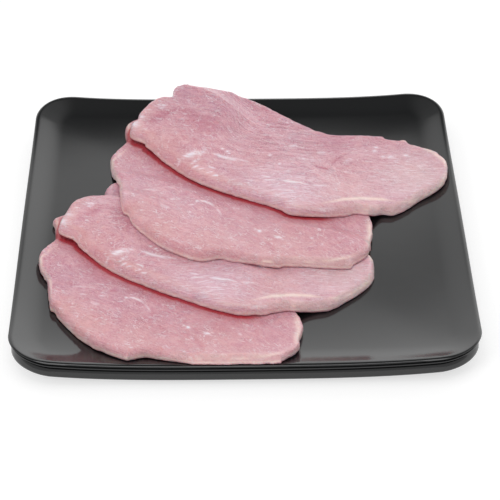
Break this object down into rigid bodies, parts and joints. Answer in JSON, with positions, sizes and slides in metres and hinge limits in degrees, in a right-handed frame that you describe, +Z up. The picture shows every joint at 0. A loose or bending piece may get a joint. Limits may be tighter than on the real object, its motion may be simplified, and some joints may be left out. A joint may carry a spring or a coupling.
{
  "type": "meat tray pack",
  "caption": "Square black tray with rounded, slightly raised corners, holding overlapping thin slices of raw pale-pink meat.",
  "frame": {"origin": "on the surface the tray stands on, under the middle of the tray", "axes": "+Z up, -Y towards the front of the tray as the picture shows it, +X to the right"},
  "size_m": [0.262, 0.262, 0.0306],
  "materials": {
    "black_melamine": "moulded black melamine with a soft gloss",
    "raw_meat": "moist raw flesh, pale pink, cream along the cut edges"
  },
  "bodies": {
    "root": {"tray": "black_melamine", "slice_front_lower": "raw_meat", "slice_front_upper": "raw_meat", "slice_back_lower": "raw_meat", "slice_back_upper": "raw_meat"}
  },
  "joints": []
}
